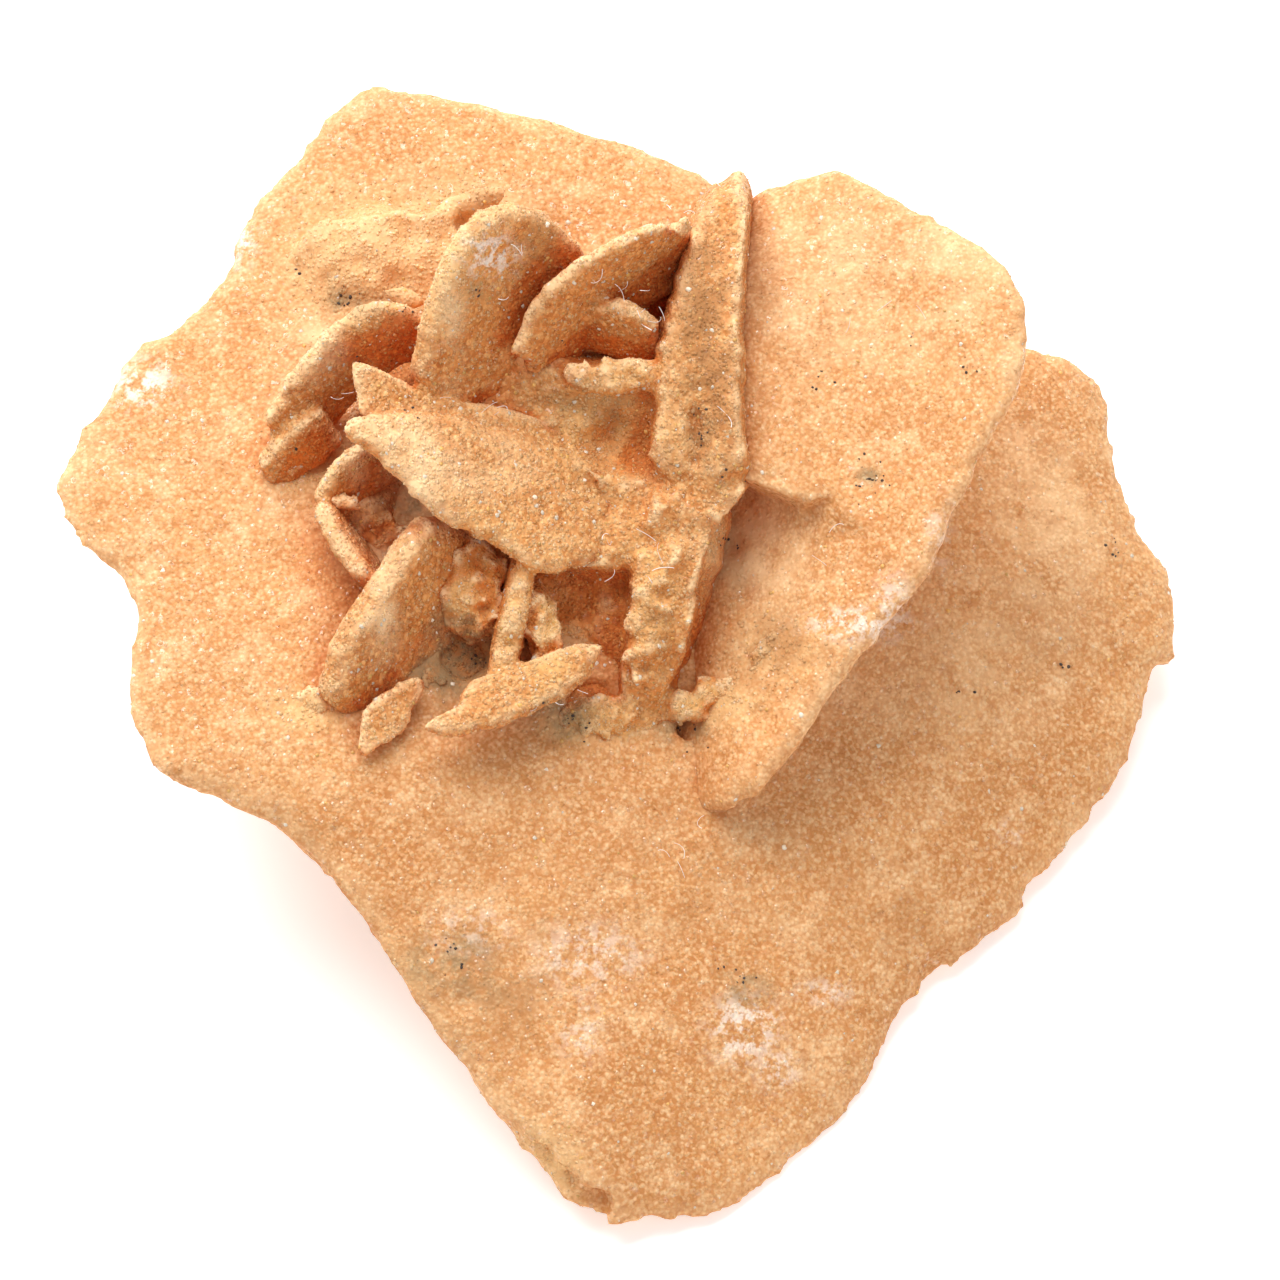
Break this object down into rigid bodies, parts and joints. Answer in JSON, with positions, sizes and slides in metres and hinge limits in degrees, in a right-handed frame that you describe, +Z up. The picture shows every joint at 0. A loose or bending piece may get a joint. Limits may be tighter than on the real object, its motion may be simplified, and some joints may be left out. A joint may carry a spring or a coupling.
{
  "type": "gypsum sand rose",
  "caption": "Sand rose: lens-shaped gypsum crystal blades full of sand, grown through one another around a sandy hub, resting flat on a table.",
  "frame": {"origin": "on the table, under the middle of the bounding box", "axes": "+Z up, square to the table; +X to the side where the second blade is raised; +Y to the raised end of the main blade, which is the back"},
  "size_m": [0.0564, 0.0582, 0.027],
  "materials": {
    "sandy_gypsum": "matte, grainy like fine sandstone, with whitish worn rims"
  },
  "bodies": {
    "root": {"sand_rose": "sandy_gypsum"}
  },
  "joints": []
}
